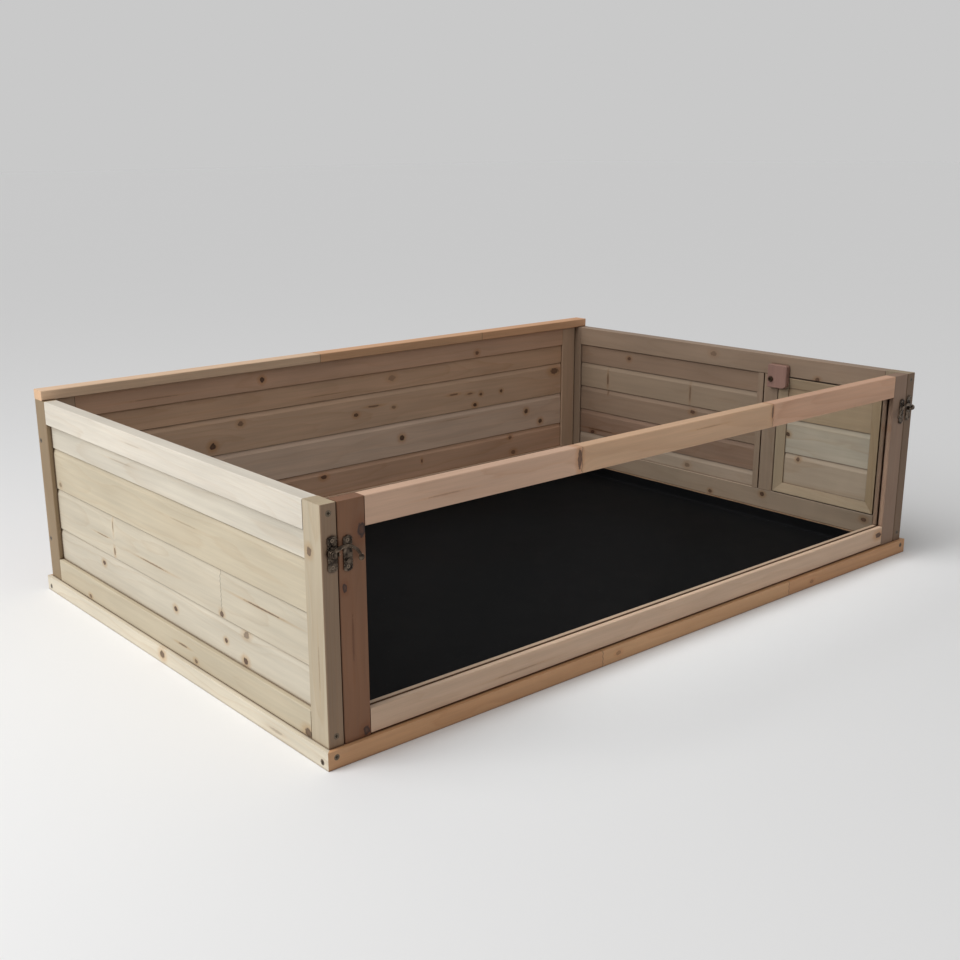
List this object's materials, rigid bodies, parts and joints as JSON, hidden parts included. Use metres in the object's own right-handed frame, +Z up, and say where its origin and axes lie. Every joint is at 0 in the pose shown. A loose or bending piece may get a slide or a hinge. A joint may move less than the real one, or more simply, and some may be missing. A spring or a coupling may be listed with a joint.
{
  "type": "guinea pig cage",
  "caption": "Open-topped boarded wooden pen on a batten ring, with a clear front that lifts out behind swing latches and a small side door with a turn button.",
  "frame": {"origin": "on the floor under the middle of the base ring", "axes": "+X along the length towards the wall with the side door, +Z up, the clear front faces -Y"},
  "size_m": [1.2, 0.8031, 0.3285],
  "materials": {
    "wall_pine": "planed, unfinished",
    "base_pine": "planed, unfinished",
    "front_pine": "planed, unfinished",
    "clear_sheet": "clear, glossy",
    "liner": "matt",
    "bronze": "antique dark",
    "hinge_brass": "antique dark",
    "screw_steel": "plated"
  },
  "bodies": {
    "cage": {"back_board_1": "wall_pine", "back_board_2": "wall_pine", "back_board_3": "wall_pine", "back_board_4": "wall_pine", "back_bottom_rail": "wall_pine", "back_cap": "wall_pine", "back_left_stile": "wall_pine", "back_right_stile": "wall_pine", "back_top_rail": "wall_pine", "base_front_batten": "base_pine", "base_left_batten": "base_pine", "base_rear_batten": "base_pine", "base_right_batten": "base_pine", "floor_liner": "liner", "frame_screws": "screw_steel", "front_dowels": "front_pine", "hinge_pins": "hinge_brass", "hinge_wall_leaves": "hinge_brass", "latch_plates": "bronze", "left_board_1": "wall_pine", "left_board_2": "wall_pine", "left_board_3": "wall_pine", "left_board_4": "wall_pine", "left_bottom_rail": "wall_pine", "left_front_stile": "wall_pine", "left_rear_stile": "wall_pine", "left_top_rail": "wall_pine", "right_bead": "wall_pine", "right_board_1": "wall_pine", "right_board_2": "wall_pine", "right_board_3": "wall_pine", "right_board_4": "wall_pine", "right_board_5": "wall_pine", "right_bottom_rail": "wall_pine", "right_front_stile": "wall_pine", "right_mullion": "wall_pine", "right_rear_stile": "wall_pine", "right_top_rail": "wall_pine", "small_screws_wall": "screw_steel", "turn_button_screw": "screw_steel"},
    "clear_front": {"front_left_stile": "front_pine", "front_right_stile": "front_pine", "front_top_rail": "front_pine", "front_bottom_rail": "front_pine", "clear_panel": "clear_sheet", "latch_strikes": "bronze", "small_screws_front": "screw_steel"},
    "left_latch_arm": {"left_latch_arm": "bronze"},
    "right_latch_arm": {"right_latch_arm": "bronze"},
    "turn_button": {"turn_button": "front_pine"},
    "side_door": {"door_board_1": "wall_pine", "door_board_2": "wall_pine", "door_board_3": "wall_pine", "door_bottom_strip": "wall_pine", "door_front_strip": "wall_pine", "door_rear_strip": "wall_pine", "door_top_strip": "wall_pine", "hinge_door_leaves": "hinge_brass", "small_screws_door": "screw_steel"}
  },
  "joints": [
    {"name": "front_lift", "type": "slide", "parent": "cage", "child": "clear_front", "axis": [0, 0, 1], "range_m": [0, 0.3]},
    {"name": "left_latch_swing", "type": "hinge", "parent": "cage", "child": "left_latch_arm", "pos_m": [-0.583, -0.4001, 0.2566], "axis": [0, -1, 0], "range_deg": [0, 165]},
    {"name": "right_latch_swing", "type": "hinge", "parent": "cage", "child": "right_latch_arm", "pos_m": [0.583, -0.4001, 0.2566], "axis": [0, 1, 0], "range_deg": [0, 165]},
    {"name": "turn_button_turn", "type": "hinge", "parent": "cage", "child": "turn_button", "pos_m": [0.5676, -0.132, 0.271], "axis": [-1, 0, 0], "range_deg": [0, 180]},
    {"name": "side_door_swing", "type": "hinge", "parent": "cage", "child": "side_door", "pos_m": [0.5967, -0.351, 0.168], "axis": [0, 0, -1], "range_deg": [0, 100]}
  ]
}
